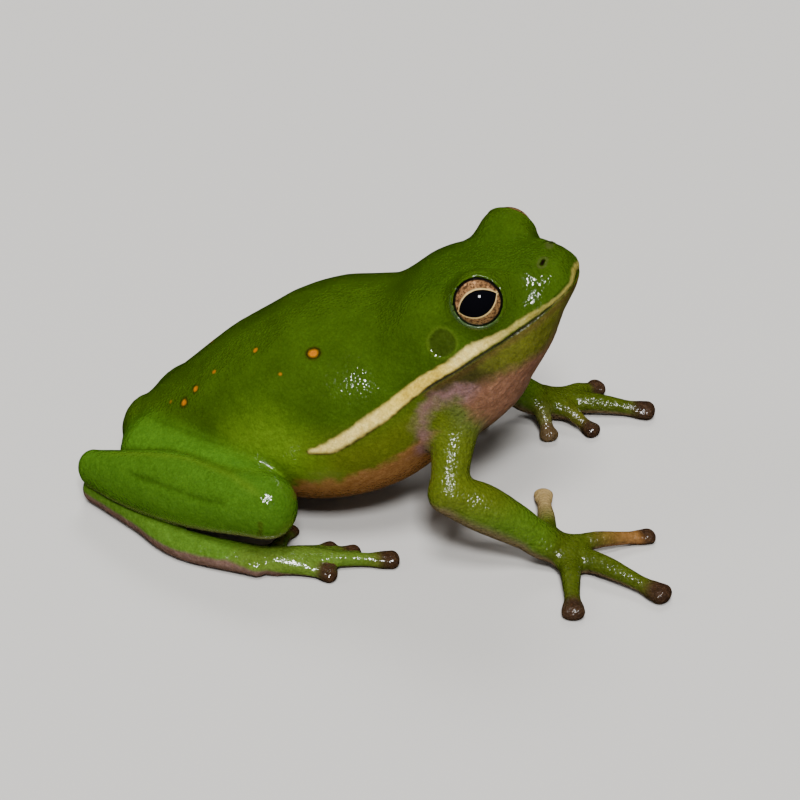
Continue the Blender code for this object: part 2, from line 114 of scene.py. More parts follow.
def tube(path, sides=40, steps=6, ends=(1.0, 1.0)):
    """A rounded form along a path of X, Y, Z, half width and half height, closed by a dome at each end."""
    rows = smooth_rows(path, steps)
    middles, sizes = rows[:, :3], rows[:, 3:]
    ahead = np.array([unit(v) for v in np.gradient(middles, axis=0)])
    across = np.cross((0.0, 0.0, 1.0), ahead[0])
    if np.linalg.norm(across) < 0.3:
        across = np.array((0.0, 1.0, 0.0))
    turns = np.linspace(0.0, math.tau, sides, endpoint=False)
    rings = []

    def ring(middle, i, scale):
        nonlocal across
        across = unit(across - ahead[i] * across.dot(ahead[i]))
        above = np.cross(ahead[i], across)
        wide, high = sizes[i] * scale
        rings.append(middle + np.outer(np.cos(turns) * wide, across) + np.outer(np.sin(turns) * high, above))

    last = len(rows) - 1
    reach = [ends[0] * sizes[0].min(), ends[1] * sizes[last].min()]
    lifts = np.radians((15.0, 30.0, 45.0, 60.0, 75.0))
    for lift in lifts[::-1]:
        ring(middles[0] - ahead[0] * reach[0] * math.sin(lift), 0, math.cos(lift))
    for i in range(last + 1):
        ring(middles[i], i, 1.0)
    for lift in lifts:
        ring(middles[last] + ahead[last] * reach[1] * math.sin(lift), last, math.cos(lift))
    tips = [middles[0] - ahead[0] * reach[0], middles[last] + ahead[last] * reach[1]]
    return closed_mesh(rings, tips)


def join(first, second, blend):
    """Two forms joined, with a fillet of about the size of the blend where they meet."""
    near = np.maximum(blend - np.abs(first - second), 0.0) / blend
    return np.minimum(first, second) - near * near * blend / 4


def cut(first, second, blend):
    """The first form less the second, with a rounded edge."""
    return -join(-first, second, blend)


def part_of_grid(low, high):
    """The slices of the grid that hold a box and the reach around it."""
    start = np.maximum(np.floor((low - REACH) / CELL).astype(int) - GRID_LOW, 0)
    end = np.minimum(np.ceil((high + REACH) / CELL).astype(int) - GRID_LOW + 1, GRID_SIZE)
    return tuple(slice(int(a), int(b)) for a, b in zip(start, end))


def nothing():
    return np.full(GRID_SIZE, REACH, np.float32)


def distances(mesh):
    """The slices of the grid near a closed mesh, and the distances to its surface there."""
    points, faces = mesh
    near = part_of_grid(points.min(axis=0), points.max(axis=0))
    level = openvdb.FloatGrid.createLevelSetFromPolygons(
        points.astype(np.float32), triangles=faces.astype(np.uint32),
        transform=openvdb.createLinearTransform(voxelSize=CELL), halfWidth=REACH / CELL,
    )
    found = np.empty([s.stop - s.start for s in near], np.float32)
    level.copyToArray(found, ijk=[int(s.start + low) for s, low in zip(near, GRID_LOW)])
    return near, found


def add(whole, mesh, blend):
    """Joins a closed mesh to a form."""
    near, found = distances(mesh)
    whole[near] = join(whole[near], found, blend)


trunk = nothing()
add(trunk, tube(TRUNK, sides=96, steps=8, ends=(1.0, 0.5)), 0.1)


# The head. It is wide and flat on top with a blunt snout, and its sides are upright from the lip to the brow.
# It is lofted in its own axes, with the mouth at Z = 0 and the snout's tip at the origin, and then turned.
# Distance behind the snout's tip, half width, height above the mouth, depth of jaw and throat
HEAD = [
    (0.95, 2.2, 1.7, 1.1),
    (1.7, 3.1, 2.6, 1.7),
    (2.85, 4.15, 3.5, 2.35),
    (4.4, 5.4, 4.45, 3.3),
    (6.5, 6.6, 5.45, 4.9),
    (9.0, 7.6, 6.35, 6.2),
    (11.8, 8.4, 7.3, 7.5),
    (14.6, 8.8, 7.55, 8.3),
    (17.5, 8.6, 6.8, 8.2),
    (20.5, 7.2, 5.2, 6.8),
]
# Where the snout starts, as distance behind its tip and height, and how far the nape is domed
SNOUT = (0.65, 0.2)
NAPE_DOME = 1.0
HEAD_PITCH = 40.0
HEAD_TURN = -4.0
SNOUT_TIP = np.array((21.2, -1.7, 29.6))
CHIN_RAKE = 0.12
LIP = 0.25
# How square the head is above and below the mouth, where 2 is round
CROWN_SQUARE = 2.7
JAW_SQUARE = 2.1
EYE = np.array((-7.2, 6.0, 4.3))
EYE_LOOK = unit((0.35, 0.91, 0.2))
EYE_RADIUS = 2.55
LID_DOME = 2.74
LID_DOME_INSET = 0.25
LID_FILLET = 2.0
LID_OPENING = 2.3
LID_RIM = 0.1
RIM_OUT = math.sqrt(EYE_RADIUS ** 2 - LID_OPENING ** 2)
NOSTRIL = np.array((-1.95, 1.66, 2.75))
NOSTRIL_LOOK = unit((0.35, 0.75, 0.5))
NOSTRIL_SWELL = 0.42
NOSTRIL_PIT = 0.2
NOSTRIL_SLIT = np.array((0.11, -0.11, 0.11))
EARDRUM = np.array((-12.05, 7.95, 3.1))
EARDRUM_LOOK = unit((0.0, 1.0, 0.12))
EARDRUM_RADIUS = 1.4
HEAD_AXES = np.array(
    (Matrix.Rotation(math.radians(HEAD_TURN), 3, "Z") @ Matrix.Rotation(math.radians(-HEAD_PITCH), 3, "Y"))
)


def mirrored(vector, side):
    return np.array((vector[0], side * vector[1], vector[2]))


def on_head(point, side=1):
    """The place of a point given in the head's axes, on one side of the head."""
    return SNOUT_TIP + HEAD_AXES @ mirrored(point, side)


def facing(look, side):
    return HEAD_AXES @ mirrored(look, side)


def power(values, exponent):
    return np.sign(values) * np.abs(values) ** exponent


def skull():
    turns = np.linspace(0.0, math.tau, 128, endpoint=False)
    upper = np.sin(turns) >= 0
    square = np.where(upper, CROWN_SQUARE, JAW_SQUARE)
    rings = []
    rows = smooth_rows(HEAD, 8)
    for back, wide, high, deep in rows:
        y = (wide - np.where(upper, 0.0, LIP)) * power(np.cos(turns), 2 / square)
        z = np.where(upper, high, deep) * power(np.sin(turns), 2 / square)
        local = np.column_stack([CHIN_RAKE * np.minimum(z, 0.0) - back, y, z])
        rings.append(SNOUT_TIP + local @ HEAD_AXES.T)
    tips = [on_head((-SNOUT[0], 0.0, SNOUT[1])), on_head((-rows[-1][0] - NAPE_DOME, 0.0, 0.0))]
    return closed_mesh(rings, tips)


def ball(places, middle, radius):
    return np.sqrt(sum((place - m) ** 2 for place, m in zip(places, middle))) - radius


def along_and_out(places, middle, look):
    """How far places lie along a direction from its middle, and out from it."""
    apart = [place - m for place, m in zip(places, middle)]
    along = sum(a * b for a, b in zip(apart, look))
    return along, np.sqrt(np.maximum(sum(a * a for a in apart) - along * along, 0.0))


def with_face(bare, places, side):
    """The head's distances at these places, with the lids and the nostril of one side added."""
    look = facing(EYE_LOOK, side)
    eye = on_head(EYE, side)
    along, out = along_and_out(places, eye, look)
    form = join(bare, ball(places, on_head(EYE - (0.0, LID_DOME_INSET, 0.0), side), LID_DOME), LID_FILLET)
    form = join(form, np.hypot(out - LID_OPENING - LID_RIM, along - RIM_OUT) - LID_RIM, 0.25)
    form = cut(form, ball(places, eye, EYE_RADIUS - 0.04), 0.06)
    form = cut(form, np.maximum(out - LID_OPENING, 0.6 * RIM_OUT - along), 0.12)
    form = join(form, ball(places, on_head(NOSTRIL, side), NOSTRIL_SWELL), 0.7)
    pit = NOSTRIL + NOSTRIL_LOOK * NOSTRIL_SWELL
    for end in (-1, 0, 1):
        form = cut(form, ball(places, on_head(pit + end * NOSTRIL_SLIT, side), NOSTRIL_PIT), 0.1)
    return form


head = nothing()
add(head, skull(), 0.1)
bare_head = head.copy()
for side in SIDES.values():
    near = part_of_grid(on_head(EYE, side) - 5.0, on_head(EYE, side) + 9.0)
    head[near] = with_face(head[near], (X[near[0]], Y[:, near[1]], Z[:, :, near[2]]), side)


# The arms. Each is set under the shoulder, with a slim upper arm, a thicker forearm and a hand of four
# fingers that end in round pads. Their joints and pads lie where the solids have them.
ARMS = {
    "right": {
        "shoulder": (10.3, -6.0, 15.6),
        "elbow": (10.5, -11.6, 9.0),
        "wrist": (19.0, -8.8, 2.8),
        "palm": (21.8, -8.4),
        "pads": [(17.9, 1.6), (28.9, -3.4), (31.3, -12.7), (23.4, -16.9)],
    },
    "left": {
        "shoulder": (8.0, 5.2, 16.0),
        "elbow": (6.6, 12.4, 8.6),
        "wrist": (14.0, 15.6, 2.8),
        "palm": (17.1, 17.1),
        "pads": [(17.0, 12.0), (21.2, 13.6), (26.2, 17.9), (20.6, 21.2)],
    },
}
# Half widths of the fingers at the root, the shaft and the pad, from the innermost out
FINGERS = [(0.95, 0.82, 1.0), (1.0, 0.78, 0.98), (1.2, 0.95, 1.22), (1.1, 0.9, 1.16)]
# Where along the hand, from wrist to palm, each finger starts
FINGER_STARTS = (0.3, 0.65, 1.0, 1.0)
FLAT = 0.1
PALM_HEIGHT = 1.25
PAD_FLATNESS = 0.7
WEB_HEIGHT = 0.75


def between(first, second, share, lift=0.0):
    """A point part of the way from one joint to another, raised a little."""
    point = np.array(first, float) + (np.array(second) - np.array(first)) * share
    point[2:] += lift
    return tuple(point)


def digit_path(root, pad, sizes, lift):
    """A finger or toe from its root to its pad, slim behind the pad and a little thicker at its joints."""
    base, slim, pad_wide = sizes
    pad_high = pad_wide * PAD_FLATNESS
    end = (*pad, pad_high - FLAT)
    return [
        (*root, base, base),
        (*between(root, end, 0.35, lift), slim * 1.08, slim * 1.08),
        (*between(root, end, 0.74, lift * 0.3), slim * 0.84, slim * 0.82),
        (*between(root, end, 0.9), pad_wide * 0.9, pad_high * 0.95),
        (*end, pad_wide, pad_high),
    ]


def web_mesh(first, second, share, thick=0.36, hollow=0.72, steps=10):
    """A thin skin with a hollow edge between two digits, each given as its root and its pad."""
    roots = [np.array(root[:2]) for root, _ in (first, second)]
    ends = [root + (np.array(pad) - root) * share for root, (_, pad) in zip(roots, (first, second))]
    middle = (roots[0] + roots[1]) / 2
    pull = middle + ((ends[0] + ends[1]) / 2 - middle) * (2 * hollow - 1)
    t = np.linspace(0.0, 1.0, steps)[:, None]
    edge = (1 - t) ** 2 * ends[0] + 2 * t * (1 - t) * pull + t * t * ends[1]
    outline = np.vstack([roots[0], edge, roots[1]])
    rings = [np.column_stack([outline, np.full(len(outline), WEB_HEIGHT + s * thick / 2)]) for s in (-1, 1)]
    centre = (outline.mean(axis=0) + middle) / 2
    return closed_mesh(rings, [(*centre, WEB_HEIGHT - thick / 2), (*centre, WEB_HEIGHT + thick / 2)])


def add_digits(whole, roots, pads, sizes, reach, share, lift):
    """The fingers of a hand or the toes of a foot, joined by webs. Gives their paths."""
    paths, last = [], None
    for root, pad, size in zip(roots, pads, sizes):
        start = root + unit(np.array((*pad, root[2])) - root) * reach
        path = digit_path(start, pad, size, lift)
        add(whole, tube(path, sides=24), 0.9)
        if last:
            add(whole, web_mesh((start, pad), last, share), 0.45)
        last = (start, pad)
        paths.append(path)
    return paths


arms, hands = nothing(), nothing()
digit_paths = []
for name in SIDES:
    arm = ARMS[name]
    shoulder, elbow, wrist = arm["shoulder"], arm["elbow"], arm["wrist"]
    palm_middle = (*arm["palm"], PALM_HEIGHT - FLAT)
    upper_arm = [
        (*shoulder, 2.8, 2.9),
        (*between(shoulder, elbow, 0.5), 2.05, 2.15),
        (*between(shoulder, elbow, 0.96), 1.65, 1.75),
    ]
    forearm = [
        (*elbow, 1.8, 1.9),
        (*between(elbow, wrist, 0.35, 0.4), 2.25, 2.35),
        (*between(elbow, wrist, 0.75, 0.3), 2.0, 1.95),
        (*wrist, 1.75, 1.45),
    ]
    palm = [
        (*wrist, 1.7, 1.3),
        (*between(wrist, palm_middle, 0.55), 2.1, 1.3),
        (*palm_middle, 2.3, PALM_HEIGHT),
    ]
    add(arms, tube(upper_arm), 0.1)
    add(arms, tube(forearm), 1.0)
    add(hands, tube(palm), 0.1)
    roots = [np.array(between(wrist, palm_middle, share)) for share in FINGER_STARTS]
    digit_paths += add_digits(hands, roots, arm["pads"], FINGERS, 1.0, 0.3, 0.35)


# The legs. Folded beside the body: the thigh runs forward, the shank back over it, and the long foot
# forward again along the floor, with five webbed toes. The skin creases sharply where they lie together.
LEGS = {
    "right": {
        "hip": (-19.5, -4.9, 5.4),
        "knee": (-6.0, -14.0, 7.4),
        "heel": (-25.2, -6.2, 4.3),
        "tarsus": (-15.0, -13.6),
        "sole": (-7.2, -14.7),
        "pads": [(-5.4, -8.4), (-1.0, -10.6), (1.3, -11.0), (5.1, -11.6), (-0.3, -14.9)],
    },
    "left": {
        "hip": (-18.0, 4.7, 5.6),
        "knee": (-0.6, 13.6, 7.2),
        "heel": (-20.8, 6.2, 4.1),
        "tarsus": (-9.6, 12.8),
        "sole": (-2.0, 14.6),
        "pads": [(0.3, 9.2), (4.0, 10.6), (6.8, 11.6), (9.8, 13.4), (4.6, 17.0)],
    },
}
TOES = [(0.8, 0.65, 0.85), (0.85, 0.68, 0.9), (0.9, 0.72, 1.0), (0.98, 0.8, 1.1), (0.95, 0.78, 1.05)]
SOLE_HEIGHT = 1.25
CALF_BULGE = 1.1

thighs, shanks, feet = nothing(), nothing(), nothing()
for name, side in SIDES.items():
    leg = LEGS[name]
    hip, knee, heel, tarsus = leg["hip"], leg["knee"], leg["heel"], leg["tarsus"]
    sole_middle = (*leg["sole"], SOLE_HEIGHT - FLAT)
    thigh = [
        (*hip, 3.5, 3.5),
        (*between(hip, knee, 0.35, 0.2), 3.6, 3.8),
        (*between(hip, knee, 0.7, 0.4), 3.2, 3.5),
        (*between(hip, knee, 0.93, -0.1), 2.55, 2.95),
    ]
    shank = [
        (*between(knee, heel, 0.02, 0.0), 2.7, 3.1),
        (*between(knee, heel, 0.3, 0.1), 2.9, 3.5),
        (*between(knee, heel, 0.55, 0.25), 2.9, 3.7),
        (*between(knee, heel, 0.8, 0.05), 2.4, 2.9),
        (*heel, 1.7, 2.0),
    ]
    bulge = [side * CALF_BULGE * math.sin(math.pi * (i + 1) / 6) for i in range(len(shank))]
    shank = [(x, y + out, *rest) for out, (x, y, *rest) in zip(bulge, shank)]
    foot = [
        (heel[0] - 0.1, heel[1], 1.6 - FLAT, 1.4, 1.6),
        (*between(heel[:2], tarsus, 0.5), 1.6 - FLAT, 1.4, 1.6),
        (*tarsus, 1.5 - FLAT, 1.5, 1.5),
        (*sole_middle, 1.9, SOLE_HEIGHT),
    ]
    add(thighs, tube(thigh), 0.1)
    add(shanks, tube(shank), 0.1)
    add(feet, tube(foot), 0.1)
    roots = [np.array(sole_middle) + (0.8, 0.0, 0.0)] * len(TOES)
    digit_paths += add_digits(feet, roots, leg["pads"], TOES, 0.8, 0.62, 0.2)


# The skin. One soft, moist skin covers the whole frog. The forms are joined with wide fillets where the skin
# stretches and narrow ones where it folds, and the result becomes one fine mesh.
def softer(places, near, far, size):
    """A blend that goes from one size close to these places to another away from them."""
    share = np.float32(0.0)
    for x, y, z in places:
        share = np.maximum(share, np.exp(-((X - x) ** 2 + (Y - y) ** 2 + (Z - z) ** 2) / size ** 2))
    return far + (near - far) * share


def of_both(joint):
    return [LEGS[name][joint] for name in SIDES]


body = join(trunk, head, 1.9)
limbs = join(arms, hands, 1.2)
legs = join(shanks, feet, softer(of_both("heel"), 1.4, 0.2, 2.6))
legs = join(thighs, legs, softer(of_both("knee"), 2.6, 0.2, 4.2))
whole = join(body, limbs, 1.3)
whole = join(whole, legs, softer(of_both("hip"), 2.8, 0.5, 7.0))
whole = -join(-whole, np.broadcast_to(Z, whole.shape), 0.08)

level = openvdb.FloatGrid(REACH)
level.copyFromArray(whole, ijk=[int(low) for low in GRID_LOW], tolerance=0.0)
level.transform = openvdb.createLinearTransform(voxelSize=CELL)
points, quads = level.convertToQuads(0.0)
skin_mesh = bpy.data.meshes.new("skin")
skin_mesh.from_pydata(points.tolist(), [], quads.tolist())
skin = bpy.data.objects.new("skin", skin_mesh)
bpy.context.scene.collection.objects.link(skin)
finer = skin.modifiers.new("finer", "SUBSURF")
finer.levels = finer.render_levels = 1
graph = bpy.context.evaluated_depsgraph_get()
skin_mesh = bpy.data.meshes.new_from_object(skin.evaluated_get(graph), depsgraph=graph)
skin.modifiers.clear()
skin.data = skin_mesh


def read(mesh, what):
    """The places or the normals of a mesh's points, as rows of three numbers."""
    found = np.empty(len(mesh.vertices) * 3, np.float32)
    if what == "places":
        mesh.vertices.foreach_get("co", found)
    else:
        mesh.vertex_normals.foreach_get("vector", found)
    return found.reshape(-1, 3).astype(float)


def sampled(values, places):
    """A grid's values at any places, from the eight grid points around each."""
    at = places / CELL - GRID_LOW
    low = np.clip(np.floor(at).astype(int), 0, np.array(GRID_SIZE) - 2)
    share = at - low
    total = 0.0
    for corner in np.ndindex(2, 2, 2):
        weight = np.prod(np.where(corner, share, 1 - share), axis=1)
        i, j, k = (low + corner).T
        total = total + weight * values[i, j, k]
    return total


places = read(skin_mesh, "places")
# The lids are small against the grid, so the points round the eyes and nostrils are moved onto the exact form
for side in SIDES.values():
    near = np.linalg.norm(places - on_head(EYE + (2.0, -1.0, 0.0), side), axis=1) < 8.5
    moved = places[near]
    for _ in range(4):
        here = with_face(sampled(bare_head, moved), moved.T, side)
        slope = np.column_stack([
            with_face(sampled(bare_head, moved + step), (moved + step).T, side) - here
            for step in np.eye(3) * 0.02
        ]) / 0.02
        steepness = np.maximum((slope ** 2).sum(axis=1), 0.25)
        off = sampled(whole, moved) - sampled(head, moved)
        push = np.clip(here, -0.15, 0.15) * (np.abs(off) < 0.02)
        moved = moved - slope * (push / steepness)[:, None]
    places[near] = moved


# The relief of the skin: the line of the mouth and the upper lip, the eardrum and the fold over it, the ridge
# from eye to nostril, the furrow along the calf, the wrinkled throat and the granules, up to 0.25 mm high.
def soft(values, start, end):
    """A share that eases from 0 at the start to 1 at the end."""
    t = np.clip((values - start) / (end - start), 0.0, 1.0)
    return t * t * (3 - 2 * t)


def bump(values, width):
    return np.exp(-(values / width) ** 2)


def noise(at, size, seed):
    """Smooth random values from -1 to 1, which change over about this size."""
    table = np.random.default_rng(seed).uniform(-1.0, 1.0, (64, 64, 64)).astype(np.float32)
    at = (at / size).astype(np.float32).T
    cell = np.floor(at).astype(np.int32)
    t = at - cell
    t = t * t * (3 - 2 * t)
    total = 0.0
    for i, j, k in np.ndindex(2, 2, 2):
        weight = (t[0] if i else 1 - t[0]) * (t[1] if j else 1 - t[1]) * (t[2] if k else 1 - t[2])
        total = total + weight * table[(cell[0] + i) & 63, (cell[1] + j) & 63, (cell[2] + k) & 63]
    return total


def along_line(at, line, reach=4.0):
    """Distance from places to a line of points, and how far along it the nearest place is, from 0 to 1."""
    line = np.array(line, float)
    best, share = np.full(len(at), 99.0), np.zeros(len(at))
    for i in range(len(line) - 1):
        low, high = np.minimum(line[i], line[i + 1]) - reach, np.maximum(line[i], line[i + 1]) + reach
        near = np.flatnonzero(((at > low) & (at < high)).all(axis=1))
        off = at[near] - line[i]
        span = line[i + 1] - line[i]
        t = np.clip(off @ span / span.dot(span), 0.0, 1.0)
        apart = np.linalg.norm(off - t[:, None] * span, axis=1)
        nearer = apart < best[near]
        best[near[nearer]] = apart[nearer]
        share[near[nearer]] = (i + t[nearer]) / (len(line) - 1)
    return best, share


def fold(at, line, width, height):
    """A ridge, or a groove where the height is less than 0, along a line on the skin."""
    apart, share = along_line(at, smooth_rows(line, 4))
    return height * bump(apart, width) * soft(share, 0.0, 0.15) * soft(share, 1.0, 0.85)


# The line of the mouth: distance behind the snout's tip and height
MOUTH = [
    (-2.0, -0.6), (1.5, -0.75), (4.0, -0.6), (6.5, -0.3),
    (9.0, 0.0), (12.0, 0.15), (15.0, 0.3), (17.05, 0.2),
]
MOUTH_END = 16.6
in_head = (places - SNOUT_TIP) @ HEAD_AXES
in_head_half = np.abs(in_head * (0, 1, 0)) + in_head * (1, 0, 1)
behind = -in_head[:, 0]
above_mouth = in_head[:, 2] - np.interp(behind, *np.array(smooth_rows(MOUTH, 4)).T)
forms = {
    "trunk": trunk, "head": head, "arms": arms, "hands": hands,
    "thighs": thighs, "shanks": shanks, "feet": feet,
}
bodies = {name: sampled(grid, places) for name, grid in forms.items()}
of_head = soft(bodies["trunk"] - bodies["head"], -0.2, 0.8)
on_jaws = soft(behind, MOUTH_END + 0.7, MOUTH_END - 0.7) * (np.minimum(bodies["head"], 1.0) < 0.4)
mouth_line = bump(above_mouth, 0.13) * on_jaws
relief = -0.14 * mouth_line * soft(behind, -0.5, 4.5)
relief += on_jaws * (0.08 * bump(above_mouth - 0.5, 0.32))
outward = in_head_half - EARDRUM
drum_along = outward @ EARDRUM_LOOK
drum_out = np.sqrt(np.maximum((outward ** 2).sum(axis=1) - drum_along ** 2, 0.0))
near_drum = (np.abs(drum_along) < 1.6) & (drum_out < 3.0)
drum_ring = near_drum * bump(drum_out - EARDRUM_RADIUS, 0.16)
drum = near_drum * soft(drum_out, EARDRUM_RADIUS, EARDRUM_RADIUS - 0.25)
relief += 0.05 * drum_ring - 0.05 * drum * soft(drum_out, 0.1, 0.9)
BROW = [(-5.1, 4.6, 4.8), (-3.7, 3.5, 4.1), (-2.4, 2.4, 3.3)]
CHEEK = [(-4.9, 5.6, 2.2), (-3.6, 4.7, 1.8), (-2.6, 3.8, 1.5)]
EAR_FOLD = [(-9.9, 6.7, 4.4), (-11.6, 7.7, 4.9), (-13.4, 8.4, 4.3), (-14.8, 8.8, 2.6), (-15.6, 9.0, 0.6)]
relief += fold(in_head_half, BROW, 0.8, 0.22)
relief += fold(in_head_half, CHEEK, 0.9, -0.2)
relief += fold(in_head_half, EAR_FOLD, 0.5, 0.2)
relief += fold(in_head_half, [(x, y, z - 0.8) for x, y, z in EAR_FOLD], 0.35, -0.06)

# The furrow along the calf and the pale line on top of it, as offsets from the right knee
SHANK_FURROW = [(-15.9, 3.4, 0.0), (-10.9, 0.5, 0.6), (-6.3, -1.3, 0.7), (-3.8, -2.0, 1.0)]
SHANK_LINE = [
    (-19.4, 6.8, -0.9), (-16.1, 5.5, 0.4), (-12.1, 3.6, 2.0), (-8.1, 2.5, 2.5),
    (-4.3, 0.5, 2.8), (-1.6, -1.5, 2.7), (-0.1, -2.3, 2.1),
]
# The painted shade in the creases where two forms of a folded leg meet: the forms, half width and how dark
CREASES = [
    ("thighs", "shanks", 0.3, 0.3),
    ("shanks", "feet", 0.16, 0.9),
    ("thighs", "trunk", 0.4, 0.25),
    ("thighs", "feet", 0.16, 0.9),
]
crease_shade = np.zeros(len(places))
for first, second, width, dark in CREASES:
    gap = bodies[first] - bodies[second]
    near_both = soft(np.maximum(bodies[first], bodies[second]), 0.8, 0.3)
    crease_shade = np.maximum(crease_shade, dark * bump(gap, width) * near_both)
# Painted shade along the furrow of the calf
furrow_shade = np.zeros(len(places))
for name, side in SIDES.items():
    knee = LEGS[name]["knee"]
    crease_shade = crease_shade * soft(np.linalg.norm(places - knee, axis=1), 3.0, 6.0)
    furrow = [mirrored(offset, -side) + knee for offset in SHANK_FURROW]
    relief += fold(places, furrow, 0.45, -0.12)
    furrow_shade = np.maximum(furrow_shade, fold(places, furrow, 0.3, 0.4))

throat = of_head * soft(above_mouth, -1.6, -3.4)
wrinkle_at = in_head * (0.4, 1.0, 1.4)
wrinkles = 1 - 2 * np.abs(noise(wrinkle_at, 0.9, 11))
relief += 0.045 * throat * wrinkles
relief += 0.035 * noise(places, 3.1, 1) + 0.014 * noise(places, 1.3, 2)
relief += 0.01 * noise(places, 0.42, 3)

skin_mesh.vertices.foreach_set("co", places.astype(np.float32).ravel())
skin_mesh.update()
normals = read(skin_mesh, "normals")
places += normals * relief[:, None]
places[:, 2] = np.maximum(places[:, 2], 0.0)

# The markings of the skin and its painted shade, each a share from 0 to 1 at every point. They say where each
# colour of the skin lies.
# The tips of the fingers and toes darken towards their pads.
digits_at = np.full(len(places), 1e9)
pad, tip = np.zeros(len(places)), np.zeros(len(places))
near_digits = np.minimum(bodies["hands"], bodies["feet"]) < 0.5
for path in digit_paths:
    line = [row[:3] for row in path]
    apart, share = along_line(places[near_digits], line)
    end = np.linalg.norm(places[near_digits] - line[-1], axis=1)
    wide = path[-1][3]
    nearest = apart < digits_at[near_digits]
    for mark, value in ((pad, soft(end, wide * 1.75, wide * 0.85)), (tip, soft(share, 0.4, 0.95))):
        mark[near_digits] = np.where(nearest, value, mark[near_digits])
    digits_at[near_digits] = np.where(nearest, apart, digits_at[near_digits])

# The cream stripe along lip and flank: head places for the first, body places for the rest, with half widths
LIP_STRIPE = [
    (-0.3, 0.3, -0.15, 0.05), (-1.1, 1.8, -0.42, 0.08), (-2.3, 3.1, -0.42, 0.11), (-3.3, 4.5, -0.23, 0.15),
    (-4.8, 5.8, 0.15, 0.21), (-6.5, 6.7, 0.44, 0.3), (-8.4, 7.5, 0.79, 0.42), (-10.3, 8.0, 0.99, 0.52),
    (-12.1, 8.5, 0.97, 0.5), (-13.4, 8.8, 1.0, 0.47), (-14.7, 8.9, 1.08, 0.46), (-16.2, 8.9, 1.05, 0.5),
]
FLANK_STRIPE = [
    (6.0, 9.7, 18.45, 0.52), (4.7, 10.3, 17.3, 0.58), (2.8, 10.9, 15.8, 0.62), (0.8, 11.5, 14.3, 0.62),
    (-1.0, 11.7, 13.1, 0.52), (-2.7, 11.8, 12.55, 0.15),
]


def laid(points):
    """Points moved onto the skin."""
    points = np.array(points, float)
    for _ in range(4):
        here = sampled(whole, points)
        slope = np.column_stack([sampled(whole, points + step) - here for step in np.eye(3) * 0.2]) / 0.2
        points = points - slope * (here / np.maximum((slope ** 2).sum(axis=1), 0.25))[:, None]
    return points


stripe, stripe_edge_and_shade, gold, stripe_front = (np.zeros(len(places)) for _ in range(4))
for side in SIDES.values():
    rows = [(*on_head(row[:3], side), row[3]) for row in LIP_STRIPE]
    rows += [(*mirrored(row[:3], side), row[3]) for row in FLANK_STRIPE]
    rows = smooth_rows(rows, 4)
    line = laid(rows[:, :3])
    apart, share = along_line(places, line)
    half = np.interp(share, np.linspace(0, 1, len(rows)), rows[:, 3])
    ragged = half + 0.09 * noise(places, 0.45, 21) + 0.09 * noise(places, 1.6, 22)
    nearest_point = np.array([np.interp(share, np.linspace(0, 1, len(line)), line[:, i]) for i in range(3)]).T
    under = (nearest_point - places)[:, 2] > 0
    edge = 0.24 + 0.15 * soft(share, 0.25, 0.0)
    stripe = np.maximum(stripe, soft((apart - ragged) / edge, 1.0, -1.0))
    # The stripe has a thin dark edge all round; below its rear part the edge is made much darker, which is
    # painted shade under the stripe.
    stripe_rim_and_shade = bump(apart - half - 0.12, 0.16) * (0.2 + 0.8 * under * soft(share, 0.3, 0.6))
    stripe_edge_and_shade = np.maximum(stripe_edge_and_shade, stripe_rim_and_shade)
    near = apart < half + 0.5
    gold = np.where(near, soft(share, 0.46, 0.56) * soft(share, 0.85, 0.7), gold)
    stripe_front = np.where(near, soft(share, 0.42, 0.22), stripe_front)

# Gold spots on the back, ringed with brown: X, Y, Z, half width, how strong
SPOTS = [
    (-3.2, -6.9, 20.3, 0.46, 1.0), (-9.5, -4.4, 18.5, 0.28, 0.9), (-6.3, -8.0, 18.4, 0.22, 0.7),
    (-13.7, -4.2, 15.4, 0.26, 0.75), (-15.5, -4.6, 13.5, 0.34, 0.95), (-16.6, -5.0, 12.0, 0.37, 0.95),
    (-18.2, -3.7, 11.05, 0.22, 0.3), (-6.0, 5.4, 19.4, 0.4, 1.0),
    (-12.2, 4.6, 15.6, 0.3, 0.9), (-15.0, 2.2, 14.2, 0.26, 0.8), (-1.2, 7.9, 19.6, 0.24, 0.7),
]
spot, spot_ring = np.zeros(len(places)), np.zeros(len(places))
for x, y, z, wide, strength in SPOTS:
    apart = np.linalg.norm((places - laid([(x, y, z)])[0]) * (0.85, 1.0, 1.15), axis=1)
    apart = apart + 0.06 * noise(places, 0.35, 31)
    spot = np.maximum(spot, strength * soft(apart, wide * 1.15, wide * 0.45))
    spot_ring = np.maximum(spot_ring, strength * bump(apart - wide * 1.2, 0.2) * soft(wide, 0.2, 0.45))

ragged = 0.5 * noise(places, 1.1, 41) + 0.3 * noise(places, 0.4, 42)
limb_near = np.minimum(bodies["arms"], bodies["hands"])
body_near = np.minimum(bodies["trunk"], bodies["head"])
lower_leg = np.minimum(bodies["shanks"], bodies["feet"])
leg = soft(np.minimum(body_near, bodies["thighs"]) - lower_leg, -0.3, 0.3) * soft(lower_leg, 2.2, 1.0)
thigh_mark = soft(body_near - bodies["thighs"], -1.8, 1.6) * soft(lower_leg - bodies["thighs"], -0.6, 0.6)
thigh_mark *= soft(bodies["thighs"], 2.4, 1.2)
HAUNCH = (-6.5, 10.5, 11.0)
from_haunch = (np.abs(places * (0, 1, 0)) + places * (1, 0, 1) - HAUNCH) * (0.8, 1.0, 1.0)
haunch = soft(np.linalg.norm(from_haunch, axis=1) + ragged, 6.5, 1.0) * (1 - leg)
off_legs = (1 - leg) * (1 - thigh_mark)
foot_mark = leg * soft(np.minimum(bodies["shanks"], bodies["thighs"]) - bodies["feet"], -0.15, 0.15)
arm = soft(body_near - limb_near + 0.6 * ragged, -0.9, 1.1) * soft(limb_near, 2.2, 1.0)
forearm = arm * soft(places[:, 2], 9.5, 6.0)
hand = arm * soft(bodies["arms"] - bodies["hands"], -0.8, 0.8)
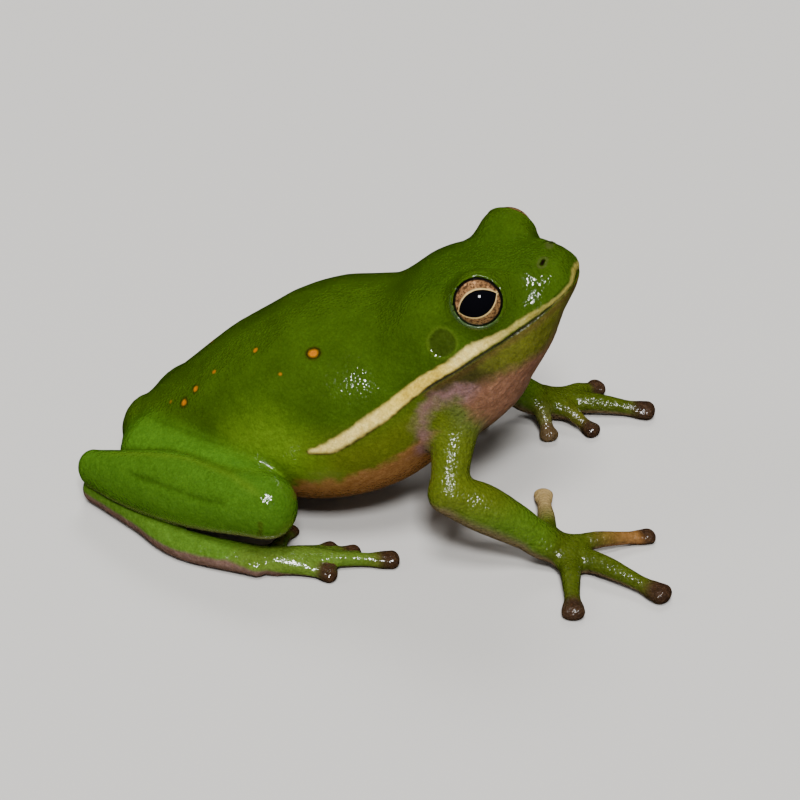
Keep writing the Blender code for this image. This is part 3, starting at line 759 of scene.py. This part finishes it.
# The pink fold round the top of the arm, as offsets from a point on the right shoulder
ARM_FOLD = [
    (-2.5, 0.0, -4.0), (-2.6, 0.7, -1.2), (-2.1, 0.6, 0.8),
    (-1.3, 0.5, 2.2), (0.0, 0.4, 2.7), (1.3, 0.2, 3.0),
]
# A short brown dash on the outer side of the knee, as offsets from it
KNEE_DASH = [(-0.5, -3.1, -0.1), (-0.6, -2.8, -1.6)]
pink, thin_line, dash = np.zeros(len(places)), np.zeros(len(places)), np.zeros(len(places))
for name, side in SIDES.items():
    shoulder_top = ARMS[name]["shoulder"] + np.array((0.0, side * 3.0, 0.4))
    arm = np.maximum(arm, soft(np.linalg.norm(places - shoulder_top, axis=1) + ragged, 3.2, 1.2))
    apart, _ = along_line(places, [mirrored(offset, side) + shoulder_top for offset in ARM_FOLD])
    patchy = 0.7 * noise(places, 1.1, 51) + 0.3 * noise(places, 0.45, 53)
    pink = np.maximum(pink, soft(apart + patchy, 1.9, 0.1))
    knee = LEGS[name]["knee"]
    apart, share = along_line(places, [mirrored(offset, -side) + knee for offset in SHANK_LINE])
    thin_line = np.maximum(thin_line, bump(apart, 0.4) * soft(share, 0.0, 0.2) * soft(share, 1.0, 0.8))
    apart, _ = along_line(places, [mirrored(offset, -side) + knee for offset in KNEE_DASH])
    dash = np.maximum(dash, soft(apart + 0.1 * noise(places, 0.4, 52), 0.4, 0.12))
# Where the pale belly ends: X and height
BELLY_LINE = [
    (-20.0, 3.0), (-8.0, 6.5), (-3.0, 8.7), (0.0, 9.3), (3.0, 10.6),
    (5.6, 12.0), (7.3, 13.6), (10.0, 16.0), (13.0, 18.0),
]
belly_line = np.interp(places[:, 0], *np.array(BELLY_LINE).T)
belly = soft(belly_line - places[:, 2] + ragged, -0.6, 0.9) * off_legs * (1 - of_head)
flank = soft(np.abs(places[:, 1]), 7.5, 10.5) * soft(places[:, 2] - belly_line, 7.0, 2.0) * off_legs
# Where the throat's colour ends: distance behind the snout's tip and height
THROAT_LINE = [
    (0.0, -1.6), (2.5, -2.2), (5.5, -4.0), (7.0, -4.1),
    (8.5, -3.4), (10.5, -2.8), (12.7, -2.3), (14.0, -2.0),
]
throat_line = np.interp(behind, *np.array(THROAT_LINE).T)
throat_mark = of_head * soft(throat_line - in_head[:, 2] + 0.6 * ragged, -0.9, 1.1)
jaw = of_head * soft(above_mouth, -0.05, -0.3) * soft(behind, 18.5, 16.0)
# Painted shade: the rear of the jaw, under the stripe behind the eye, is made dark olive brown.
jaw_rear_shade = jaw * soft(behind + ragged, 8.5, 12.0)
# Painted shade: a brown band on the jaw just under the line of the mouth, below the upper lip.
under_lip_shade = 0.7 * jaw * soft(above_mouth + 0.3 * ragged, -1.1, -0.4)
# Painted shade: the head is made darker green where it faces up, on the crown between the eyes.
up_on_head = normals @ HEAD_AXES[:, 2]
crown_shade = 0.8 * of_head * soft(up_on_head, 0.5, 0.9) * soft(behind, 17.0, 12.0)
crown_shade = crown_shade * soft(np.abs(in_head[:, 1]), 6.0, 3.5)
# How high the brown of the sole comes up the side of the foot: distance ahead of the heel and height
SOLE_LINE = [(0.0, 1.6), (3.0, 1.6), (8.0, 1.7), (15.0, 1.85), (19.0, 1.15), (21.0, 0.7), (23.0, 0.35)]
sole_line = np.zeros(len(places))
for name, side in SIDES.items():
    from_heel = places[:, 0] - LEGS[name]["heel"][0]
    height = np.interp(from_heel, *np.array(SOLE_LINE).T)
    sole_line = np.where(places[:, 1] * side > 0, height, sole_line)
sole = foot_mark * soft(sole_line - places[:, 2] + 0.12 * ragged, -0.15, 0.25) * (1 - soft(tip, 0.0, 0.4))
under_limb = np.maximum(leg * soft(normals[:, 2], -0.35, -0.75), arm * soft(normals[:, 2], 0.0, -0.5))
from_eye = in_head_half - EYE
eye_apart = np.linalg.norm(from_eye, axis=1)
lid = bump(eye_apart - EYE_RADIUS - 0.14, 0.12) * of_head * soft(-from_eye @ (0.8, 0.0, 0.6), -0.5, 2.2)
from_nostril = in_head_half - NOSTRIL
out_of_nostril = from_nostril @ NOSTRIL_LOOK
across_nostril = from_nostril - out_of_nostril[:, None] * NOSTRIL_LOOK
slit_apart, _ = along_line(across_nostril, [-NOSTRIL_SLIT, NOSTRIL_SLIT])
at_nostril = np.abs(out_of_nostril) < 1.2
# Painted shade: the slit of the nostril is made almost black, as the shade inside the opening.
nostril = at_nostril * soft(slit_apart, 0.26, 0.1)
nostril_rim = 0.25 * at_nostril * bump(slit_apart - 0.35, 0.12)
# The two inner fingers of the right hand are cream and orange; on the left hand they are almost green
INNER_FINGERS = {"right": 1.0, "left": 0.15}
first_finger, second_finger = np.zeros(len(places)), np.zeros(len(places))
for hand_number, strength in enumerate(INNER_FINGERS.values()):
    for number, mark in enumerate((first_finger, second_finger)):
        path = digit_paths[hand_number * len(FINGERS) + number]
        apart, share = along_line(places, [row[:3] for row in path])
        mark[:] = np.maximum(mark, strength * soft(apart, 1.4, 1.0) * soft(share, 0.1, 0.5))
second_finger *= 1 - first_finger
MARKS_AND_SHADE = {
    "flank": flank, "haunch": haunch, "thigh": thigh_mark, "leg": leg, "foot": foot_mark, "crown_shade": crown_shade,
    "belly": belly, "jaw": jaw, "jaw_rear_shade": jaw_rear_shade, "under_lip_shade": under_lip_shade, "throat": throat_mark,
    "pink": 0.85 * pink, "arm": arm, "forearm": forearm, "hand": hand,
    "under_limb": 0.7 * under_limb, "sole": sole, "thin_line": 0.45 * thin_line,
    "dash": 0.35 * dash, "tip": tip * (1 - first_finger), "second_finger": 0.8 * second_finger, "pad": pad,
    "first_finger": first_finger, "drum": drum, "drum_ring": 0.6 * drum_ring, "lid": 0.6 * lid,
    "stripe_edge_and_shade": stripe_edge_and_shade, "stripe": stripe, "gold": gold * stripe,
    "stripe_front": stripe_front * stripe, "spot_ring": spot_ring, "spot": spot,
    # The dark line of the mouth is painted shade in the groove between the lips
    "nostril_rim": nostril_rim, "mouth": mouth_line * soft(behind, 0.0, 5.0),
    "crease_shade": np.maximum(crease_shade, furrow_shade), "nostril": nostril,
}
places = (places - BOX_MIDDLE) * MM
skin_mesh.vertices.foreach_set("co", places.astype(np.float32).ravel())
for name, values in MARKS_AND_SHADE.items():
    layer = skin_mesh.attributes.new(name, "FLOAT", "POINT")
    layer.data.foreach_set("value", np.clip(values, 0.0, 1.0).astype(np.float32))
skin_mesh.update()
skin_mesh.shade_smooth()


def new_material(name):
    made = bpy.data.materials.new(name)
    made.use_nodes = True
    return made.node_tree, made.node_tree.nodes["Principled BSDF"], made


def put(tree, kind, settings=None, **sockets):
    """Adds a shader node. Sockets go by name, or by i and their number, and take a value or another's output."""
    made = tree.nodes.new("ShaderNode" + kind)
    for key, value in (settings or {}).items():
        setattr(made, key, value)
    for key, value in sockets.items():
        socket = made.inputs[int(key[1:])] if key[1:].isdigit() else made.inputs[key.replace("_", " ")]
        if isinstance(value, bpy.types.NodeSocket):
            tree.links.new(value, socket)
        else:
            socket.default_value = value
    return made.outputs


def blended(tree, share, first, second):
    """The first colour, with the second over it by a share."""
    pair = [(*c, 1.0) if isinstance(c, tuple) else c for c in (first, second)]
    return put(tree, "Mix", {"data_type": "RGBA"}, i0=share, i6=pair[0], i7=pair[1])[2]


def maths(tree, operation, first, second, third=0.0):
    return put(tree, "Math", {"operation": operation}, i0=first, i1=second, i2=third)[0]


def mark(tree, name):
    return put(tree, "Attribute", {"attribute_name": name})["Fac"]


def ranged(tree, value, low, high, out_low=0.0, out_high=1.0):
    """A value from low to high, stretched to go from out_low to out_high and held there outside."""
    sockets = {"Value": value, "From_Min": low, "From_Max": high, "To_Min": out_low, "To_Max": out_high}
    return put(tree, "MapRange", None, **sockets)[0]


def in_millimetres(tree):
    """The piece's own places as millimetres, for textures."""
    at = put(tree, "TexCoord")["Object"]
    return put(tree, "Mapping", None, Vector=at, Scale=(1000.0, 1000.0, 1000.0))[0]


# Colours of the skin and its painted shade from the ground colour up: mark, colour, second colour for the mottle
LEAF = (0.044, 0.088, 0.005)
LEAF_DARK = (0.034, 0.068, 0.004)
LAYERS = [
    ("flank", (0.105, 0.13, 0.007), (0.075, 0.095, 0.005)),
    ("haunch", (0.115, 0.21, 0.008), (0.085, 0.165, 0.006)),
    ("thigh", (0.07, 0.175, 0.01), (0.052, 0.13, 0.008)),
    ("leg", (0.06, 0.142, 0.009), (0.045, 0.11, 0.007)),
    ("foot", (0.09, 0.19, 0.018), (0.062, 0.13, 0.011)),
    # Painted shade on the crown of the head
    ("crown_shade", (0.04, 0.085, 0.005), (0.03, 0.065, 0.004)),
    ("belly", (0.3, 0.14, 0.04), (0.2, 0.085, 0.02)),
    ("jaw", (0.135, 0.145, 0.005), (0.085, 0.09, 0.003)),
    # Painted shade at the rear of the jaw
    ("jaw_rear_shade", (0.05, 0.042, 0.004), (0.034, 0.03, 0.003)),
    # Painted shade under the lip
    ("under_lip_shade", (0.12, 0.075, 0.014), (0.075, 0.045, 0.008)),
    ("throat", (0.3, 0.13, 0.065), (0.18, 0.07, 0.032)),
    ("pink", (0.25, 0.13, 0.13), (0.17, 0.085, 0.075)),
    ("arm", (0.1, 0.13, 0.008), (0.07, 0.095, 0.006)),
    ("forearm", (0.08, 0.15, 0.009), (0.055, 0.11, 0.007)),
    ("hand", (0.065, 0.09, 0.006), (0.042, 0.06, 0.004)),
    ("under_limb", (0.22, 0.13, 0.09), (0.15, 0.075, 0.045)),
    ("sole", (0.17, 0.1, 0.078), (0.11, 0.062, 0.042)),
    ("thin_line", (0.11, 0.2, 0.012), (0.09, 0.16, 0.008)),
    ("dash", (0.06, 0.03, 0.008), (0.04, 0.02, 0.005)),
    ("tip", (0.08, 0.06, 0.01), (0.052, 0.036, 0.006)),
    ("second_finger", (0.3, 0.13, 0.04), (0.19, 0.08, 0.022)),
    ("pad", (0.055, 0.029, 0.015), (0.026, 0.013, 0.007)),
    ("first_finger", (0.5, 0.36, 0.16), (0.38, 0.26, 0.1)),
    ("drum", (0.036, 0.06, 0.006), (0.026, 0.044, 0.004)),
    ("drum_ring", (0.085, 0.14, 0.012), (0.06, 0.1, 0.008)),
    ("lid", (0.11, 0.17, 0.11), (0.07, 0.12, 0.06)),
    # The thin dark edge of the stripe, and painted shade below it
    ("stripe_edge_and_shade", (0.04, 0.03, 0.004), (0.025, 0.018, 0.003)),
    ("stripe", (0.95, 0.78, 0.25), (0.72, 0.52, 0.12)),
    ("gold", (0.88, 0.64, 0.09), (0.6, 0.41, 0.045)),
    ("stripe_front", (0.21, 0.2, 0.018), (0.14, 0.135, 0.012)),
    ("spot_ring", (0.03, 0.028, 0.002), (0.02, 0.018, 0.002)),
    ("spot", (0.55, 0.17, 0.0), (0.48, 0.14, 0.0)),
    ("nostril_rim", (0.14, 0.1, 0.06), (0.09, 0.06, 0.03)),
    # Painted shade in the line of the mouth
    ("mouth", (0.03, 0.016, 0.004), (0.02, 0.01, 0.003)),
    # Painted shade in the creases of the legs and the furrow of the calf
    ("crease_shade", (0.014, 0.03, 0.002), (0.01, 0.02, 0.001)),
    # Painted shade inside the nostril
    ("nostril", (0.006, 0.004, 0.002), (0.005, 0.003, 0.001)),
]
tree, shader, skin_material = new_material("frog skin")
at = in_millimetres(tree)


def texture(scale, detail=3.0, rough=0.55):
    return put(tree, "TexNoise", None, Vector=at, Scale=scale, Detail=detail, Roughness=rough)[0]


def granules(scale, smoothness):
    """How far each place is from the middle of its granule of skin."""
    sockets = {"Vector": at, "Scale": scale, "Smoothness": smoothness}
    return put(tree, "TexVoronoi", {"feature": "SMOOTH_F1"}, **sockets)["Distance"]


mottle = ranged(tree, texture(0.35, 4.0), 0.35, 0.65)
fine = ranged(tree, texture(1.8, 3.0, 0.6), 0.38, 0.62)
speck = ranged(tree, texture(5.5, 2.0), 0.36, 0.6)
cells = granules(2.8, 0.35)
small_cells = granules(5.4, 0.3)
colour = blended(tree, mottle, LEAF_DARK, LEAF)
mixed = maths(tree, "MULTIPLY_ADD", fine, 0.6, maths(tree, "MULTIPLY", mottle, 0.4))
for name, light, dark in LAYERS:
    colour = blended(tree, mark(tree, name), colour, blended(tree, mixed, dark, light))
# Fine darker specks of the skin, and painted shade on the granules: each is a little lighter at its middle and
# darker at its edge.
speckled = ranged(tree, speck, 0.0, 1.0, 0.84, 1.06)
shade = maths(tree, "MULTIPLY", speckled, ranged(tree, cells, 0.0, 0.6, 1.06, 0.9))
grey = put(tree, "CombineColor", None, i0=shade, i1=shade, i2=shade)[0]
colour = put(tree, "Mix", {"data_type": "RGBA", "blend_type": "MULTIPLY"}, i0=1.0, i6=colour, i7=grey)[2]
tree.links.new(colour, shader.inputs["Base Color"])
rough = ranged(tree, fine, 0.0, 1.0, 0.09, 0.15)
rough = maths(tree, "SUBTRACT", rough, maths(tree, "MULTIPLY", mark(tree, "pad"), 0.04))
for name, rougher in (("belly", 0.1), ("jaw", 0.2), ("throat", 0.12), ("mouth", 0.4)):
    rough = maths(tree, "MULTIPLY_ADD", mark(tree, name), rougher, rough)
tree.links.new(rough, shader.inputs["Roughness"])
height = maths(tree, "MULTIPLY", cells, -1.0)
height = maths(tree, "MULTIPLY_ADD", small_cells, -0.35, height)
height = maths(tree, "MULTIPLY_ADD", texture(9.0, 2.0), 0.12, height)
height = maths(tree, "MULTIPLY", height, maths(tree, "MULTIPLY_ADD", mark(tree, "arm"), 0.9, 1.0))
GRANULE_HEIGHT = 0.09 * MM
pebbled = put(tree, "Bump", None, Strength=0.55, Distance=GRANULE_HEIGHT, Height=height)[0]
tree.links.new(pebbled, shader.inputs["Normal"])
shader.inputs["Subsurface Weight"].default_value = 0.1
shader.inputs["Specular IOR Level"].default_value = 0.8
shader.inputs["Subsurface Radius"].default_value = (0.5, 0.35, 0.1)
shader.inputs["Subsurface Scale"].default_value = 0.001
skin_mesh.materials.clear()
skin_mesh.materials.append(skin_material)
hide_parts(*[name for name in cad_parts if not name.startswith("eye_")])
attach(skin, "root")


# The eyes. Large and set in the side of the head, each is a glossy ball with a copper iris, a bright gold
# line round a level, pointed pupil, and a dark rim that goes under the lids.
PUPIL_HALF = (1.92, 1.2)
PUPIL_TILT = -6.0
IRIS_EDGE = 2.08
tree, shader, eye_material = new_material("frog eye")
at = in_millimetres(tree)
across, up, _ = put(tree, "SeparateXYZ", None, Vector=at)
flat = put(tree, "CombineXYZ", None, X=across, Y=up)[0]
out = put(tree, "VectorMath", {"operation": "LENGTH"}, i0=flat)["Value"]
# The pupil's edge is an arc on each side, so that it comes to a point at each end
bow = maths(tree, "POWER", maths(tree, "DIVIDE", maths(tree, "ABSOLUTE", across, 0.0), PUPIL_HALF[0]), 2.0)
arc = maths(tree, "MAXIMUM", maths(tree, "SUBTRACT", 1.0, bow), 0.0)
arc = maths(tree, "MULTIPLY", maths(tree, "POWER", arc, 0.8), PUPIL_HALF[1])
from_pupil = maths(tree, "SUBTRACT", maths(tree, "ABSOLUTE", up, 0.0), arc)
from_pupil = maths(tree, "ADD", from_pupil, maths(tree, "MULTIPLY", texture(3.0), 0.06))
network = ranged(tree, texture(4.2, 4.0, 0.7), 0.44, 0.57)
copper = blended(tree, ranged(tree, texture(1.1), 0.4, 0.6), (0.2, 0.1, 0.042), (0.46, 0.24, 0.105))
copper = blended(tree, ranged(tree, up, 0.5, -1.4), copper, (0.22, 0.12, 0.045))
iris = blended(tree, maths(tree, "MULTIPLY", network, 0.93), copper, (0.04, 0.019, 0.008))
gold_line = ranged(tree, from_pupil, 0.25, 0.1)
iris = blended(tree, maths(tree, "MULTIPLY", gold_line, 0.72), iris, (0.85, 0.62, 0.25))
iris = blended(tree, ranged(tree, from_pupil, 0.09, 0.03), iris, (0.002, 0.002, 0.003))
iris = blended(tree, ranged(tree, out, IRIS_EDGE - 0.06, IRIS_EDGE + 0.04), iris, (0.004, 0.003, 0.003))
tree.links.new(iris, shader.inputs["Base Color"])
shader.inputs["Roughness"].default_value = 0.3
shader.inputs["Specular IOR Level"].default_value = 0.0
shader.inputs["Coat Weight"].default_value = 1.0
shader.inputs["Coat Roughness"].default_value = 0.015
shader.inputs["Coat IOR"].default_value = 1.27
tilt = math.radians(PUPIL_TILT)
# The cornea stands out a little in front of the ball
CORNEA = 0.1 * MM
for name, side in SIDES.items():
    mesh = bpy.data.meshes.new("eyeball_" + name)
    made = bmesh.new()
    bmesh.ops.create_uvsphere(made, u_segments=96, v_segments=64, radius=EYE_RADIUS * MM)
    for vert in made.verts:
        share = max(vert.co.z / (EYE_RADIUS * MM), 0.0)
        vert.co.z += CORNEA * share ** 4
    made.to_mesh(mesh)
    made.free()
    mesh.shade_smooth()
    mesh.materials.append(eye_material)
    ball_object = bpy.data.objects.new("eyeball_" + name, mesh)
    bpy.context.scene.collection.objects.link(ball_object)
    look = Vector(facing(EYE_LOOK, side))
    forward = Vector(HEAD_AXES @ (math.cos(tilt), 0.0, math.sin(tilt)))
    forward = (forward - look * forward.dot(look)).normalized()
    turned = Matrix((forward, look.cross(forward), look)).transposed().to_4x4()
    middle = Vector((on_head(EYE, side) - BOX_MIDDLE) * MM)
    ball_object.matrix_world = Matrix.Translation(middle) @ turned
    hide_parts("eye_" + name)
    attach(ball_object, "root")


# The floor, the lights and the camera. The frog sits on a wide, matt, light grey floor in a dim room, and four
# soft lamps light it. The camera looks at its right side from above, as in the photo.
def plain(name, colour, roughness):
    made = bpy.data.materials.new(name)
    made.use_nodes = True
    shader = made.node_tree.nodes["Principled BSDF"]
    shader.inputs["Base Color"].default_value = (*colour, 1.0)
    shader.inputs["Roughness"].default_value = roughness
    return made


floor_data = bpy.data.meshes.new("floor")
floor_data.from_pydata([(-3, -3, 0), (3, -3, 0), (3, 3, 0), (-3, 3, 0)], [], [(0, 1, 2, 3)])
floor_data.materials.append(plain("floor", (0.56, 0.545, 0.52), 0.8))
floor = bpy.data.objects.new("floor", floor_data)
bpy.context.scene.collection.objects.link(floor)
floor.visible_glossy = False

CAMERA_TURN = 10.0
CAMERA_RISE = 34.0
CAMERA_AIM = Vector((0.00124, -0.00218, 0.0113))
CAMERA_FAR = 0.36


def away(turn, rise):
    """The direction from the model to a place seen at a turn and rise in degrees, where 0 looks along +Y."""
    turn, rise = math.radians(turn), math.radians(rise)
    return Vector((math.sin(turn) * math.cos(rise), -math.cos(turn) * math.cos(rise), math.sin(rise)))


camera_data = bpy.data.cameras.new("camera")
camera_data.lens = 166.9
camera_data.sensor_width = 36.0
camera_data.clip_start = 0.01
camera = bpy.data.objects.new("camera", camera_data)
camera.location = CAMERA_AIM + away(CAMERA_TURN, CAMERA_RISE) * CAMERA_FAR
camera.rotation_euler = (CAMERA_AIM - camera.location).to_track_quat("-Z", "Y").to_euler()
bpy.context.scene.collection.objects.link(camera)
bpy.context.scene.camera = camera


def lamp(name, turn, rise, far, size, watts, glints=False):
    """A soft, oblong lamp that looks at the frog. Only one of them glints on the wet skin."""
    data = bpy.data.lights.new(name, "AREA")
    data.shape = "RECTANGLE"
    data.size, data.size_y = size
    data.energy = watts
    made = bpy.data.objects.new(name, data)
    made.location = CAMERA_AIM + away(turn, rise) * far
    made.rotation_euler = (CAMERA_AIM - made.location).to_track_quat("-Z", "Y").to_euler()
    made.visible_glossy = glints
    bpy.context.scene.collection.objects.link(made)


# Turn and rise in degrees, distance and size in metres, and power in watts
lamp("key", 14.0, 50.0, 2.5, (0.44, 0.4), 67.0, glints=True)
lamp("top", 5.0, 70.0, 2.5, (0.7, 0.6), 47.0)
lamp("fill", -70.0, 35.0, 1.5, (0.5, 0.5), 3.0)
lamp("back", 186.0, 52.0, 1.5, (0.6, 0.5), 9.0)
# The room is dim, so that the skin stays deep green, but pale where the camera looks straight into it
ROOM_LIGHT = 0.13
SEEN_LIGHT = 0.55
world = bpy.data.worlds.new("studio")
world.use_nodes = True
tree = world.node_tree
background = tree.nodes["Background"]
background.inputs["Color"].default_value = (0.93, 0.93, 0.92, 1.0)
seen = put(tree, "LightPath")["Is Camera Ray"]
tree.links.new(maths(tree, "MULTIPLY_ADD", seen, SEEN_LIGHT, ROOM_LIGHT), background.inputs["Strength"])
world.cycles_visibility.glossy = False
bpy.context.scene.world = world
